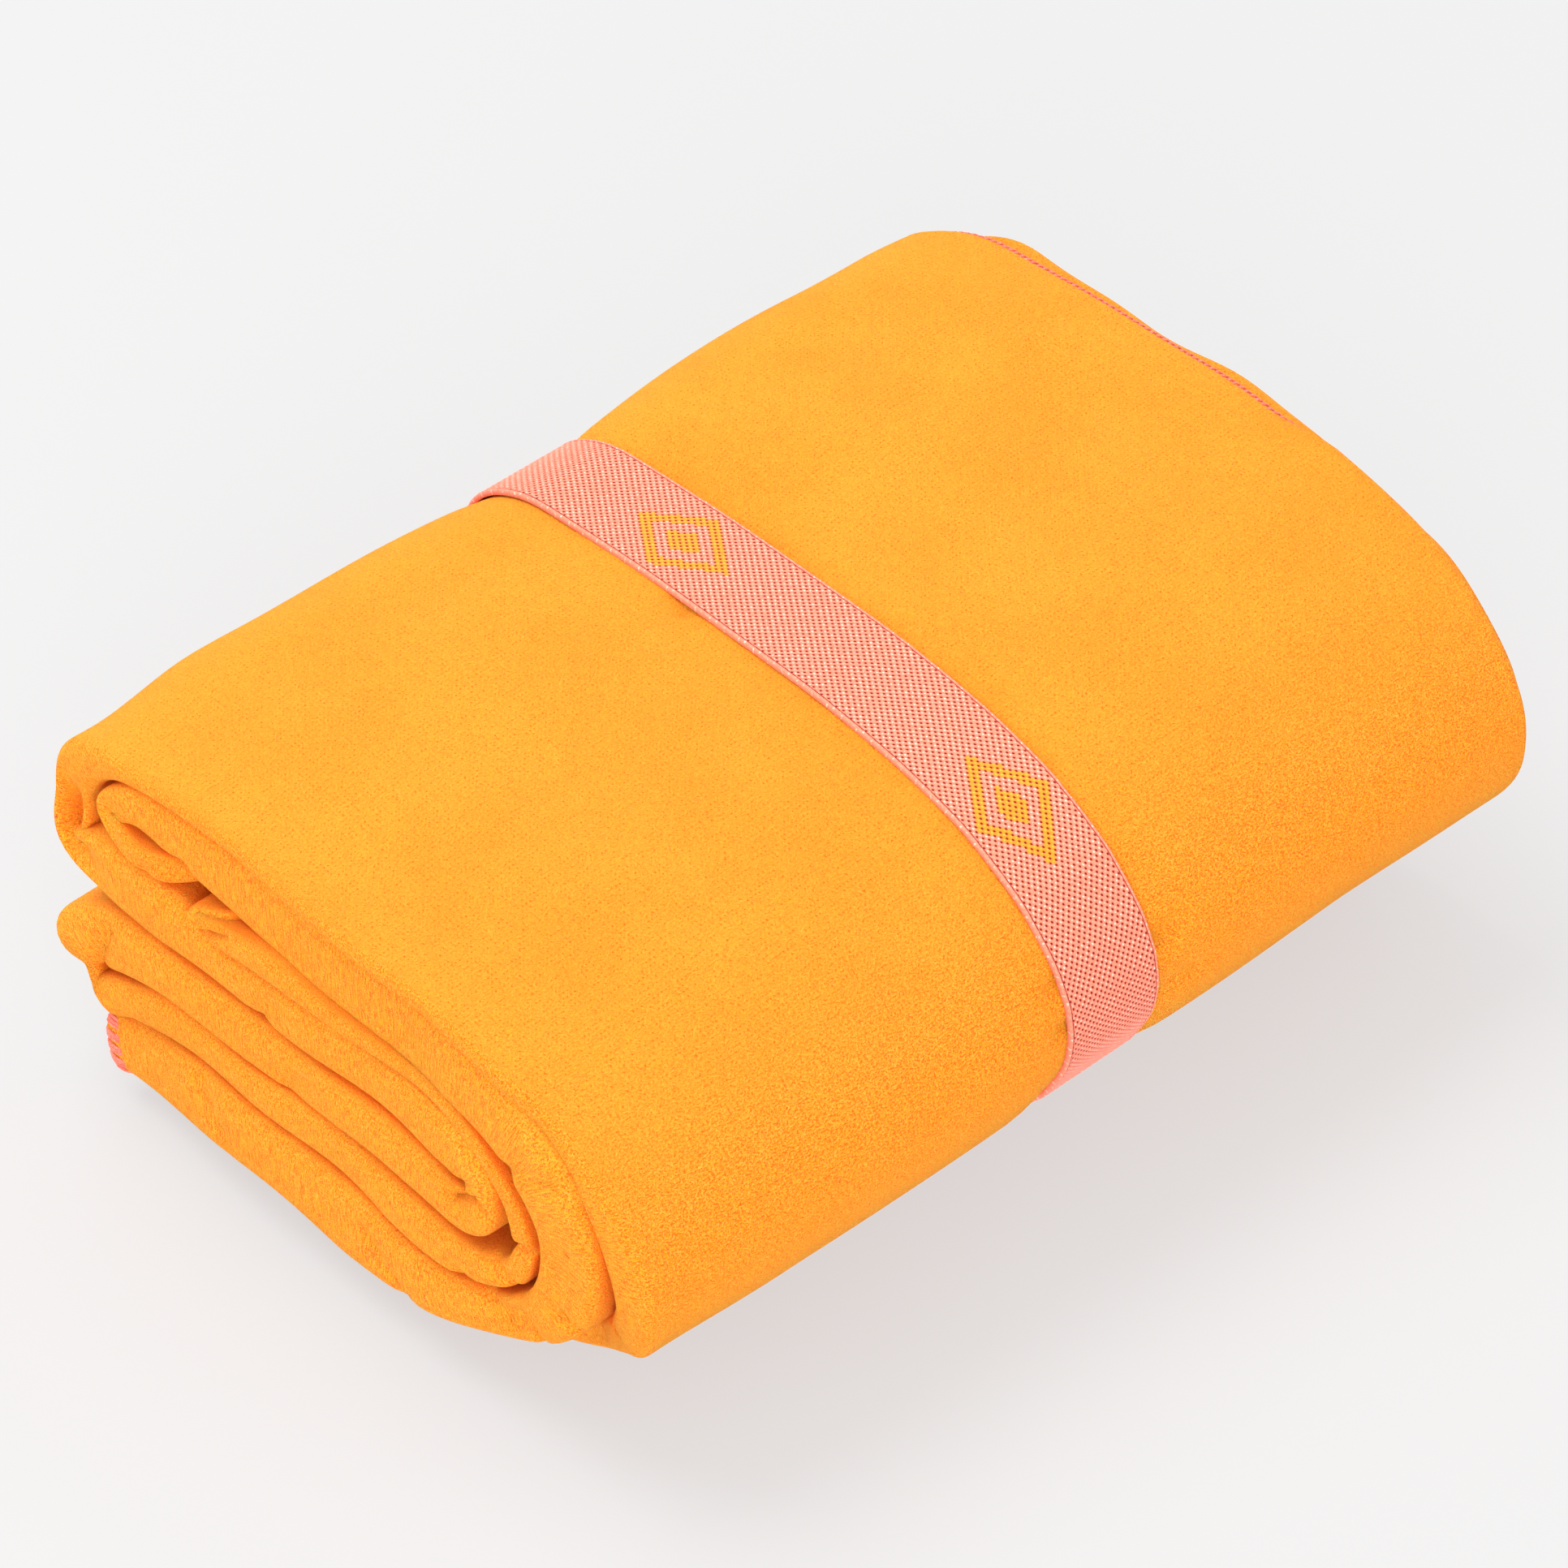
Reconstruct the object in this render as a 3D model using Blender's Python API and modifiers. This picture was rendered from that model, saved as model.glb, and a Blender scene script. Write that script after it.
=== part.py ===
"""A quick dry towel: a microfibre sheet folded to a four-ply strip, rolled flat, held by an elastic band.

Metres, +Z up. The roll's length runs along Y, its folded end faces -Y, and its round side faces +X.
The origin is the middle of the underside. The band slides along Y.
"""

import math

import bmesh
import bpy
from mathutils import Vector

MM = 0.001

# Driving dimensions, in millimetres.
ROLL_LENGTH = 200.0  # the 800 mm sheet folded to four plies
HEM_WIDTH = 3.0  # how far an edge's overlock thread reaches
HEM_THICKNESS = 0.7  # of one overlocked ply
PIECE_GAP = 0.4  # between a hem and the cloth, and between two hems
BAND_WIDTH = 20.0
BAND_THICKNESS = 1.2
BAND_CLEARANCE = 0.4  # from the roll to the inside of the band
LAP_LENGTH = 16.0  # where the two ends of the elastic overlap
LAP_INSET = 0.5  # from the band's edges to the lap's
TACK_WIDTH = 2.0  # of one row of bar tack stitching
TACK_HEIGHT = 0.4
TACK_INSET = 1.5  # from the band's edges to the ends of a tack
LAYER_GAP = 0.4  # left between neighbouring layers of the roll
SHORTEST_BAND_STEP = 1.2  # between two points of the band's line
STEPS_PER_SPAN = 3  # points read from the smooth path for each of its own spans
CLEARANCE_STEP = 15  # degrees, round each point of the roll's outline

# The middle line of the strip as it is rolled, from the visible end underneath on the left to the end hidden
# below, with half of the strip's thickness there: (x, z, half thickness).
RUNS = {
    "bottom layer, to the right": [
        (-66, 12.6, 5.2),
        (-50, 14.2, 7.0),
        (-25, 15.0, 8.0),
        (0, 14.8, 7.9),
        (18, 14.8, 6.0),
        (32, 17.7, 4.9),
    ],
    "up the right side": [
        (44, 23.7, 4.5),
        (53, 32.2, 4.3),
        (59.0, 43, 4.6),
        (59.6, 54, 4.6),
        (54.2, 62.6, 4.3),
        (44.8, 68.8, 4.2),
    ],
    "second layer from the top, to the left": [
        (30, 72.2, 4.0),
        (12, 75.0, 3.2),
        (-10, 76.9, 2.4),
        (-30, 76.8, 2.4),
        (-45, 75.8, 3.0),
        (-51.4, 74.6, 2.5),
    ],
    "small inner fold": [
        (-56.2, 71.4, 2.1),
        (-51.4, 68.1, 2.5),
        (-42, 67.8, 2.8),
        (-30, 70.3, 2.4),
        (-20, 71.7, 2.3),
        (-5, 71.8, 1.9),
        (1.6, 69.3, 1.4),
        (-5, 66.8, 1.9),
        (-20, 66.5, 2.3),
        (-28.6, 65.1, 1.8),
        (-33.8, 62.4, 1.4),
        (-28, 59.8, 1.8),
    ],
    "third layer, to the right": [
        (-15, 61.0, 2.5),
        (0, 62.3, 2.8),
        (12, 63.7, 4.2),
        (25, 63.4, 4.3),
        (36.6, 60.0, 4.1),
        (45.0, 53.6, 4.0),
        (48.2, 45.2, 4.0),
        (45.0, 37.4, 4.0),
        (37, 31.0, 4.0),
    ],
    "sixth layer, to the left": [
        (24, 27.9, 4.5),
        (0, 28.6, 4.7),
        (-25, 28.6, 4.5),
        (-45, 27.2, 4.4),
        (-60, 24.4, 4.2),
    ],
    "lower fold on the left": [
        (-69.5, 24.6, 4.0),
        (-74.0, 30, 4.0),
        (-70, 36.0, 4.6),
    ],
    "fifth layer, to the right": [
        (-60, 38.8, 6.2),
        (-45, 39.6, 6.1),
        (-20, 40.2, 5.9),
        (5, 40.8, 5.7),
        (20, 40.2, 5.2),
        (30.2, 40.9, 4.2),
        (36.2, 43.0, 3.9),
    ],
    "fourth layer, back to the left": [
        (38.2, 46.8, 3.6),
        (36.0, 50.6, 3.8),
        (30.2, 52.4, 4.2),
        (12, 53.2, 5.3),
        (-10, 52.8, 5.3),
        (-30, 51.8, 4.7),
        (-45, 54.4, 7.0),
    ],
    "upper fold on the left": [
        (-58, 56.6, 6.2),
        (-66, 60.4, 5.8),
        (-69, 67, 5.6),
        (-65.6, 74.6, 5.0),
        (-57, 80.2, 4.2),
    ],
    "top layer, to the right": [
        (-45, 82.6, 3.2),
        (-25, 83.4, 3.4),
        (0, 83.5, 3.6),
        (22, 82.5, 3.7),
        (38, 79.9, 3.9),
        (52.6, 75.2, 4.0),
    ],
    "down the right side": [
        (64.0, 67.2, 4.5),
        (71.2, 57.0, 4.9),
        (71.9, 46.6, 4.9),
        (67.6, 36.0, 4.6),
        (59.8, 26.0, 4.0),
        (48.6, 16.2, 3.7),
    ],
    "underneath, to the hidden end": [
        (35, 8.9, 3.3),
        (18, 5.0, 2.9),
        (0, 4.1, 2.3),
        (-25, 4.0, 2.2),
        (-42, 4.0, 2.2),
    ],
}


def clear_scene():
    for old in list(bpy.data.objects):
        bpy.data.objects.remove(old, do_unlink=True)


def material(name, colour, roughness):
    made = bpy.data.materials.new(name)
    made.use_nodes = True
    shader = made.node_tree.nodes["Principled BSDF"]
    shader.inputs["Base Color"].default_value = (*colour, 1.0)
    shader.inputs["Roughness"].default_value = roughness
    shader.inputs["Metallic"].default_value = 0.0
    return made


def smooth_path(controls, steps):
    """Points on the Catmull-Rom curve through the controls, which may have any number of values each."""
    ends = [controls[0], *controls, controls[-1]]
    path = []
    for before, start, end, after in zip(ends, ends[1:], ends[2:], ends[3:]):
        for step in range(steps):
            t = step / steps
            weights = (
                (2 * t**2 - t**3 - t) / 2,
                (2 - 5 * t**2 + 3 * t**3) / 2,
                (t + 4 * t**2 - 3 * t**3) / 2,
                (t**3 - t**2) / 2,
            )
            path.append(
                tuple(
                    sum(weight * value for weight, value in zip(weights, values))
                    for values in zip(before, start, end, after)
                )
            )
    path.append(tuple(controls[-1]))
    return path


def left_normals(points):
    """The unit vector to the left of the path at each of its (x, z) points."""
    normals = []
    last = len(points) - 1
    for i in range(len(points)):
        before = points[max(i - 1, 0)]
        after = points[min(i + 1, last)]
        along = Vector((after[0] - before[0], after[1] - before[1])).normalized()
        normals.append(Vector((-along.y, along.x)))
    return normals


def beside(points, offsets):
    """The path moved to its left by an offset for each point."""
    return [
        (point[0] + normal.x * offset, point[1] + normal.y * offset)
        for point, normal, offset in zip(points, left_normals(points), offsets)
    ]


def convex_hull(points):
    """The points of the convex hull, anticlockwise, as a stretched band lies round a roll."""
    ordered = sorted(set(points))
    hull = []
    for direction in (ordered, ordered[::-1]):
        side = []
        for point in direction:
            while len(side) > 1:
                a = side[-2]
                b = side[-1]
                if (b[0] - a[0]) * (point[1] - a[1]) - (b[1] - a[1]) * (point[0] - a[0]) > 0:
                    break
                side.pop()
            side.append(point)
        hull += side[:-1]
    return hull


def ribbon(name, points, y_low, y_high, finish, halves=None, thickness=None, outward=0.0, closed=False):
    """A solid that follows (x, z) points, from y_low to y_high: an open surface with Solidify.

    halves is the half thickness at each point, or thickness is the same all along.
    """
    shape = bmesh.new()
    line = [shape.verts.new((x * MM, y_low * MM, z * MM)) for x, z in points]
    edges = [shape.edges.new(pair) for pair in zip(line, line[1:])]
    if closed:
        edges.append(shape.edges.new((line[-1], line[0])))
    pulled = bmesh.ops.extrude_edge_only(shape, edges=edges)["geom"]
    across = [item for item in pulled if isinstance(item, bmesh.types.BMVert)]
    bmesh.ops.translate(shape, verts=across, vec=(0, (y_high - y_low) * MM, 0))
    mesh = bpy.data.meshes.new(name)
    shape.to_mesh(mesh)
    shape.free()
    mesh.shade_smooth()
    mesh.materials.append(finish)
    made = bpy.data.objects.new(name, mesh)
    parts.objects.link(made)
    solidify = made.modifiers.new("thickness", "SOLIDIFY")
    solidify.offset = outward
    if halves is None:
        solidify.thickness = thickness * MM
        return made
    fullest = 2 * max(halves)
    solidify.thickness = fullest * MM
    weights = made.vertex_groups.new(name="thickness")
    solidify.vertex_group = weights.name
    for vertex in mesh.vertices:
        place = (vertex.co.x / MM, vertex.co.z / MM)
        nearest = min(range(len(points)), key=lambda i: math.dist(points[i], place))
        weights.add([vertex.index], 2 * halves[nearest] / fullest, "REPLACE")
    return made


def roll_path():
    """The strip's middle line and half thickness, moved so that the banded roll stands centred on z = 0."""
    controls = [point for run in RUNS.values() for point in run]
    path = smooth_path(controls, STEPS_PER_SPAN)
    middle = [(x, z) for x, z, half in path]
    halves = [half - LAYER_GAP / 2 for x, z, half in path]
    outline = beside(middle, halves) + beside(middle, [-half for half in halves])
    left = min(x for x, z in outline)
    right = max(x for x, z in outline)
    lowest = min(z for x, z in outline)
    shift_x = -(left + right) / 2
    shift_z = BAND_THICKNESS + BAND_CLEARANCE - lowest
    middle = [(x + shift_x, z + shift_z) for x, z in middle]
    return middle, halves


def short_hem(middle, end, inner):
    """The two ends of the line of the hem on a short edge, just beyond that end of the strip."""
    tip = Vector(middle[end])
    away = (tip - Vector(middle[inner])).normalized()
    return [tuple(tip + away * reach) for reach in (PIECE_GAP, PIECE_GAP + HEM_WIDTH)]


def band_path(middle, halves):
    """The inner line of the band: the hull of the roll and its hems, with the clearance, in short steps."""
    whole = short_hem(middle, 0, 1)[::-1] + middle + short_hem(middle, -1, -2)
    half_all = [halves[0]] * 2 + halves + [halves[-1]] * 2
    outline = beside(whole, half_all) + beside(whole, [-half for half in half_all])
    turns = [math.radians(turn) for turn in range(0, 360, CLEARANCE_STEP)]
    swept = [
        (x + BAND_CLEARANCE * math.cos(turn), z + BAND_CLEARANCE * math.sin(turn))
        for x, z in outline
        for turn in turns
    ]
    hull = convex_hull([(round(x, 3), round(z, 3)) for x, z in swept])
    spaced = [hull[0]]
    for point in hull[1:]:
        if math.dist(point, spaced[-1]) > SHORTEST_BAND_STEP:
            spaced.append(point)
    return spaced


def model_towel(middle, halves):
    half_length = ROLL_LENGTH / 2
    cloth_end = half_length - HEM_WIDTH - PIECE_GAP
    ribbon("towel_cloth", middle, -half_length, cloth_end, microfibre, halves=halves)
    hem_start = half_length - HEM_WIDTH
    for ply, name in enumerate(("hem_long_edge_outer_ply", "hem_long_edge_inner_ply")):
        depth = PIECE_GAP / 2 + HEM_THICKNESS / 2 + ply * (HEM_THICKNESS + 2 * PIECE_GAP)
        line = beside(middle, [half - depth for half in halves])
        ribbon(name, line, hem_start, half_length, overlock, thickness=HEM_THICKNESS)
    for name, end, inner in (("hem_short_edge_visible_end", 0, 1), ("hem_short_edge_hidden_end", -1, -2)):
        line = short_hem(middle, end, inner)
        ribbon(name, line, -half_length, cloth_end, overlock, thickness=2 * halves[end])


def model_band(middle, halves):
    inner = band_path(middle, halves)
    edge = BAND_WIDTH / 2
    loop = [Vector(point) for point in inner]
    thick = BAND_THICKNESS
    band = ribbon("elastic_band", inner, -edge, edge, elastic, thickness=thick, outward=1.0, closed=True)
    # The join lies where the band spans the hollow between the folds on the left: its longest straight run.
    spans = [(a, b) for a, b in zip(loop, loop[1:] + loop[:1]) if max(a.x, b.x) < 0]
    start, end = max(spans, key=lambda span: (span[1] - span[0]).length)
    along = (end - start).normalized()
    out = Vector((along.y, -along.x))
    centre = (start + end) / 2
    lap_middle = centre - out * (PIECE_GAP + thick / 2)
    ends = [tuple(lap_middle + along * side * LAP_LENGTH / 2) for side in (-1, 1)]
    lap_edge = edge - LAP_INSET
    lap = ribbon("elastic_band_lap", ends, -lap_edge, lap_edge, elastic, thickness=thick)
    tack_edge = edge - TACK_INSET
    tacks = []
    for name, side in (("bar_tack_upper", -1), ("bar_tack_lower", 1)):
        tack_middle = centre + along * side * LAP_LENGTH / 4
        tack_middle += out * (thick + PIECE_GAP + TACK_HEIGHT / 2)
        ends = [tuple(tack_middle + along * rim * TACK_WIDTH / 2) for rim in (-1, 1)]
        tacks.append(ribbon(name, ends, -tack_edge, tack_edge, overlock, thickness=TACK_HEIGHT))
    slide = bpy.data.objects.new("band_slide_axis", None)
    parts.objects.link(slide)
    for piece in (band, lap, *tacks):
        piece.parent = slide


clear_scene()
parts = bpy.data.collections.new("quick_dry_towel")
bpy.context.scene.collection.children.link(parts)
microfibre = material("brushed microfibre", (0.95, 0.45, 0.035), 0.95)
overlock = material("overlock thread", (0.9, 0.26, 0.17), 0.8)
elastic = material("woven elastic", (0.9, 0.3, 0.22), 0.75)
strip_middle, strip_halves = roll_path()
model_towel(strip_middle, strip_halves)
model_band(strip_middle, strip_halves)
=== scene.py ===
"""The looks of a quick dry towel, folded, rolled and held by an elastic band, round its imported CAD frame."""

import math

import bpy
import numpy as np
from mathutils import Matrix, Vector


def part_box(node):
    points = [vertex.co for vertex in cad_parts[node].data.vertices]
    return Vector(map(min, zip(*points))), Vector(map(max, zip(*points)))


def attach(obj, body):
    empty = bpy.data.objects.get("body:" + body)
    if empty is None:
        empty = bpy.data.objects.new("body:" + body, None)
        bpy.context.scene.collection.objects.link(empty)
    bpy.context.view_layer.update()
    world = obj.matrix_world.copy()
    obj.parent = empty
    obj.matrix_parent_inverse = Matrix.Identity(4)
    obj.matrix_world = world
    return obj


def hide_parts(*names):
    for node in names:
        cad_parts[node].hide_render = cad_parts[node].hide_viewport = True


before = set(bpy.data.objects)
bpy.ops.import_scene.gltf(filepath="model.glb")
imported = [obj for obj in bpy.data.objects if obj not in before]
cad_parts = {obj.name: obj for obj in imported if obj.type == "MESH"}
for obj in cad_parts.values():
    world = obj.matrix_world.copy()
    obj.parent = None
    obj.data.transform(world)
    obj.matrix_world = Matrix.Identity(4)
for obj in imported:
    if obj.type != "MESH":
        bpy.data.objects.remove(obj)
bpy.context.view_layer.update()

MM = 0.001

# ---------------------------------------------------------------- driving sizes, in millimetres
HALF_LENGTH = 100.0  # of the roll, along Y
CLOTH = 1.1  # thickness of one ply with its nap
WEAVE_PITCH = 0.9  # of the pits that show between its rows
MIN_OFFSET = 0.8  # from the strip's middle line to its outer plies
NEAR_PROUD = 2.6  # how far the soft folded end stands out of the roll's end
BLUNT = 0.7  # how squarely a fold turns: 1 is round
FOLD_DEPTH = 3.0  # the furthest that the nose of a fold reaches
CURL = ((0.0, 0.35), (0.5, 0.62), (1.1, 0.82), (1.8, 0.93), (2.6, 1.0))  # the outer edge's inset and height
NEAR_START = -66.0  # where the folded end begins to take its own shape
NEAR_FULL = -96.0
HEM_INSET = 3.2  # from the roll's far end to the outer overlocked edge
INNER_HEM = 3.0  # from there to the inner overlocked edge
FAR_FOLD = 1.6  # depth of the fold at the far end
FAR_PROUD = 0.2  # how far that fold stands out of the roll's end
FAR_DRAW_BACK = 3.2  # of that fold, and then of the hem, where the strip turns at the upper left
HEM_DRAW_BACK = 2.6
HEM_TUCK = 3.4  # how far the outer hem is tucked over the far end on the right
WAIST = 0.9  # how far the band draws the cloth in, and how much more it does at the lower right
WAIST_RIGHT = 3.2
UNDERSIDE = 1.4  # the height of the roll above the floor, which leaves room for the band
ROLL_MIDDLE = 44.0  # the height of the roll's middle
BAND_HALF_WIDTH = 10.0
BAND_THICKNESS = 1.1
BAND_SLACK = 0.1  # between the cloth and the band
LAP_HEIGHTS = (-0.8, -0.02)  # the inside and outside of the lapped end, from the band's inner line
KNOT_RELIEF = 0.34
KNOT_ACROSS = 1.25  # between the knots of one row
KNOT_ALONG = 1.45  # and between every second row
SKEW = 0.2  # columns that a row of knots leans by
SELVAGE = 0.62
SELVAGE_TWIST = 0.8  # along the selvage's rope
MOTIF_SPACING = 84.0
MOTIF_START = 67.5  # along the band from where its line begins
MOTIF_HALF_HEIGHT = 8.2
MOTIF_HALF_LENGTH = 12.0
TACK_OFFSET = 4.5  # from the middle of the lap to a bar tack
TACK_HALF_WIDTH = 1.0
TACK_INSET = 1.2  # from the band's edge
TACK_LIFTS = (0.9, 1.24)  # of the tack's thread above the band's inner line, from stitch to stitch
TACK_THREAD = 0.19

# The middle line of the four-ply strip as it is rolled: x, z and half thickness in the body of the roll, then
# the same three at the folded end, then how far that end is drawn back from the roll's end.
STRIP = [
    # bottom layer, to the right
    (-66, 12.6, 5.2, -66, 11.8, 6.6, 0.5),
    (-50, 14.2, 7.0, -50, 13.8, 8.4, 0),
    (-25, 15.0, 8.0, -25, 16.6, 8.8, 0),
    (0, 14.8, 7.9, 0, 16.5, 9.1, 0),
    (18, 14.8, 6.0, 18, 16.8, 6.9, 0),
    (32, 17.7, 4.9, 32, 19.6, 5.1, 0),
    # up the right side
    (44, 23.7, 4.5, 44, 25.4, 4.6, 0),
    (53, 32.2, 4.3, 52, 32.4, 5.2, 0),
    (59.0, 43, 4.6, 57, 42, 6.6, 0),
    (59.6, 54, 4.6, 57.5, 53, 7.4, 0),
    (54.2, 62.6, 4.3, 52.2, 62.8, 8.4, 0.5),
    (44.8, 68.8, 4.2, 42.4, 67.8, 8.8, 1.6),
    # second layer from the top, to the left
    (30, 72.2, 4.0, 28, 70.9, 9.0, 1.8),
    (12, 75.0, 3.2, 12, 72.2, 9.4, 2.0),
    (-10, 76.9, 2.4, -10, 73.0, 9.0, 2.0),
    (-30, 76.8, 2.4, -30, 74.0, 7.8, 1.8),
    (-45, 75.8, 3.0, -45, 76.0, 5.2, 1.6),
    (-51.4, 74.6, 2.5, -51, 75.2, 3.8, 1),
    # small inner fold
    (-56.2, 71.4, 2.1, -55.6, 71.0, 3.0, 0.5),
    (-51.4, 68.1, 2.5, -50.5, 67.6, 3.0, 0),
    (-42, 67.8, 2.8, -42, 67.4, 2.6, 0),
    (-30, 70.3, 2.4, -34, 68.2, 2.0, 8),
    (-20, 71.7, 2.3, -20, 71.7, 2.0, 20),
    (-5, 71.8, 1.9, -5, 71.8, 1.9, 24),
    (1.6, 69.3, 1.4, 1.6, 69.3, 1.4, 24),
    (-5, 66.8, 1.9, -5, 66.8, 1.9, 22),
    (-20, 66.5, 2.3, -20, 65.5, 2.0, 14),
    (-28.6, 65.1, 1.8, -28, 63.6, 2.0, 4),
    (-33.8, 62.4, 1.4, -34.0, 61.8, 2.6, 0),
    (-28, 59.8, 1.8, -28, 61.6, 2.6, 0.4),
    # third layer, to the right
    (-15, 61.0, 2.5, -15, 64.0, 3.2, 0.8),
    (0, 62.3, 2.8, 0, 63.8, 2.3, 1.0),
    (12, 63.7, 4.2, 12, 63.4, 1.9, 0.9),
    (25, 63.4, 4.3, 24, 62.8, 1.7, 0.8),
    (36.6, 60.0, 4.1, 35, 59.4, 1.7, 0.8),
    (45.0, 53.6, 4.0, 43.4, 53.0, 2.0, 1),
    (48.2, 45.2, 4.0, 46.2, 44.0, 2.4, 1),
    (45.0, 37.4, 4.0, 44.2, 36.5, 2.6, 1),
    (37, 31.0, 4.0, 37.0, 32.4, 3.4, 0.5),
    # sixth layer, to the left
    (24, 27.9, 4.5, 24, 29.6, 5.4, 0.3),
    (0, 28.6, 4.7, 0, 31.6, 5.2, 0.3),
    (-25, 28.6, 4.5, -25, 30.8, 4.5, 0.3),
    (-45, 27.2, 4.4, -45, 29.2, 5.1, 0.3),
    (-60, 24.4, 4.2, -58, 26.2, 4.3, 0.5),
    # lower fold on the left
    (-69.5, 24.6, 4.0, -67.2, 22.2, 4.0, 0.5),
    (-74.0, 30, 4.0, -70.8, 26.4, 2.6, 2),
    (-70, 36.0, 4.6, -73.0, 31.2, 5.3, 0),
    # fifth layer, to the right
    (-60, 38.8, 6.2, -61, 38.2, 7.2, 0),
    (-45, 39.6, 6.1, -45, 41.0, 6.3, 0.2),
    (-20, 40.2, 5.9, -20, 41.6, 6.3, 0.2),
    (5, 40.8, 5.7, 5, 43.2, 5.3, 0.5),
    (20, 40.2, 5.2, 20, 42.4, 5.7, 0.4),
    (30.2, 40.9, 4.2, 29.5, 41.8, 5.0, 0.3),
    (36.2, 43.0, 3.9, 34.5, 43.0, 4.6, 0.5),
    # fourth layer, back to the left
    (38.2, 46.8, 3.6, 37.0, 46.5, 3.8, 0.5),
    (36.0, 50.6, 3.8, 35.6, 51.8, 4.8, 0.5),
    (30.2, 52.4, 4.2, 29.0, 54.6, 6.0, 0.7),
    (12, 53.2, 5.3, 12, 55.2, 6.4, 0.7),
    (-10, 52.8, 5.3, -10, 55.1, 6.2, 0.7),
    (-30, 51.8, 4.7, -30, 54.0, 5.0, 0.7),
    (-45, 54.4, 7.0, -45, 56.0, 7.7, 0.2),
    # upper fold on the left
    (-58, 56.6, 6.2, -58, 56.2, 7.0, 0),
    (-66, 60.4, 5.8, -69.0, 55.6, 4.2, 0.6),
    (-69, 67, 5.6, -68.4, 63.8, 4.6, 1.0),
    (-65.6, 74.6, 5.0, -65.6, 72.8, 5.0, 1.0),
    (-57, 80.2, 4.2, -57.4, 80.4, 3.8, 1.0),
    # top layer, to the right
    (-45, 82.6, 3.2, -45, 83.9, 2.0, 0.6),
    (-25, 83.4, 3.4, -25, 84.4, 1.9, 0.8),
    (0, 83.5, 3.6, 0, 84.5, 1.8, 0.7),
    (22, 82.5, 3.7, 22, 83.0, 2.3, 0.6),
    (38, 79.9, 3.9, 38, 80.2, 2.4, 1.2),
    (52.6, 75.2, 4.0, 51.6, 74.6, 2.8, 3),
    # down the right side
    (64.0, 67.2, 4.5, 62.8, 65.8, 4.4, 2.0),
    (71.2, 57.0, 4.9, 69.6, 55.5, 5.4, 2.2),
    (71.9, 46.6, 4.9, 71.0, 45.5, 4.6, 3),
    (67.6, 36.0, 4.6, 67.0, 36.4, 4.4, 5),
    (59.8, 26.0, 4.0, 59.2, 27.4, 4.0, 9),
    (48.6, 16.2, 3.7, 48.2, 17.4, 3.6, 13),
    # underneath, to the hidden end
    (35, 8.9, 3.3, 35, 8.9, 3.3, 15),
    (18, 5.0, 2.9, 18, 5.0, 2.9, 13),
    (0, 4.1, 2.3, 0, 4.1, 2.3, 13),
    (-25, 4.0, 2.2, -25, 4.0, 2.2, 13),
    (-42, 4.0, 2.2, -42, 4.0, 2.2, 13),
]
STEPS_PER_SPAN = 10
STRAND_STEP = 0.2  # of a loop, between the strands that lie side by side
BAND_STEP = 0.2  # millimetres along the band's line
LAP_STEPS = 40  # of the band's line, from the middle of the lap to its end
STEPS_PER_LOOP = 12  # of an overlock thread
TACK_CROSSINGS = 52


# ---------------------------------------------------------------- small helpers
def smoothstep(low, high, value):
    t = np.clip((value - low) / (high - low), 0.0, 1.0)
    return t * t * (3 - 2 * t)


def catmull_rom(controls, steps):
    """Rows of the smooth curve through the rows of controls."""
    padded = np.vstack([controls[:1], controls, controls[-1:]])
    a, b, c, d = padded[:-3], padded[1:-2], padded[2:-1], padded[3:]
    t = np.arange(steps)[None, :, None] / steps
    a, b, c, d = (rows[:, None, :] for rows in (a, b, c, d))
    square = 2 * a - 5 * b + 4 * c - d
    cube = 3 * b - a - 3 * c + d
    curve = (2 * b + (c - a) * t + square * t**2 + cube * t**3) / 2
    return np.vstack([curve.reshape(-1, controls.shape[1]), controls[-1:]])


def left_normals(points):
    """The unit vector to the left of a path of (x, z) points."""
    along = np.gradient(points, axis=0)
    along /= np.linalg.norm(along, axis=1, keepdims=True)
    return np.stack([-along[:, 1], along[:, 0]], axis=1)


def unit(vectors):
    return vectors / np.maximum(np.linalg.norm(vectors, axis=-1, keepdims=True), 1e-12)


def mesh_object(name, points, faces, finish):
    mesh = bpy.data.meshes.new(name)
    mesh.from_pydata(points.tolist(), [], faces)
    mesh.validate()
    mesh.shade_smooth()
    mesh.materials.append(finish)
    made = bpy.data.objects.new(name, mesh)
    bpy.context.scene.collection.objects.link(made)
    return made


def grid_faces(rows, columns, wrap_rows=False, wrap_columns=False):
    """Quads between the points of a grid stored row by row."""
    i = np.arange(rows if wrap_rows else rows - 1)
    j = np.arange(columns if wrap_columns else columns - 1)
    i, j = np.meshgrid(i, j, indexing="ij")
    k = (i + 1) % rows
    m = (j + 1) % columns
    quads = [i * columns + j, i * columns + m, k * columns + m, k * columns + j]
    return np.stack(quads, axis=-1).reshape(-1, 4)


def store_vectors(made, name, values):
    attribute = made.data.attributes.new(name, "FLOAT_VECTOR", "POINT")
    attribute.data.foreach_set("vector", np.asarray(values, np.float32).ravel())


def apply_modifiers(made):
    graph = bpy.context.evaluated_depsgraph_get()
    finished = bpy.data.meshes.new_from_object(made.evaluated_get(graph))
    old = made.data
    made.modifiers.clear()
    made.data = finished
    bpy.data.meshes.remove(old)


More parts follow.
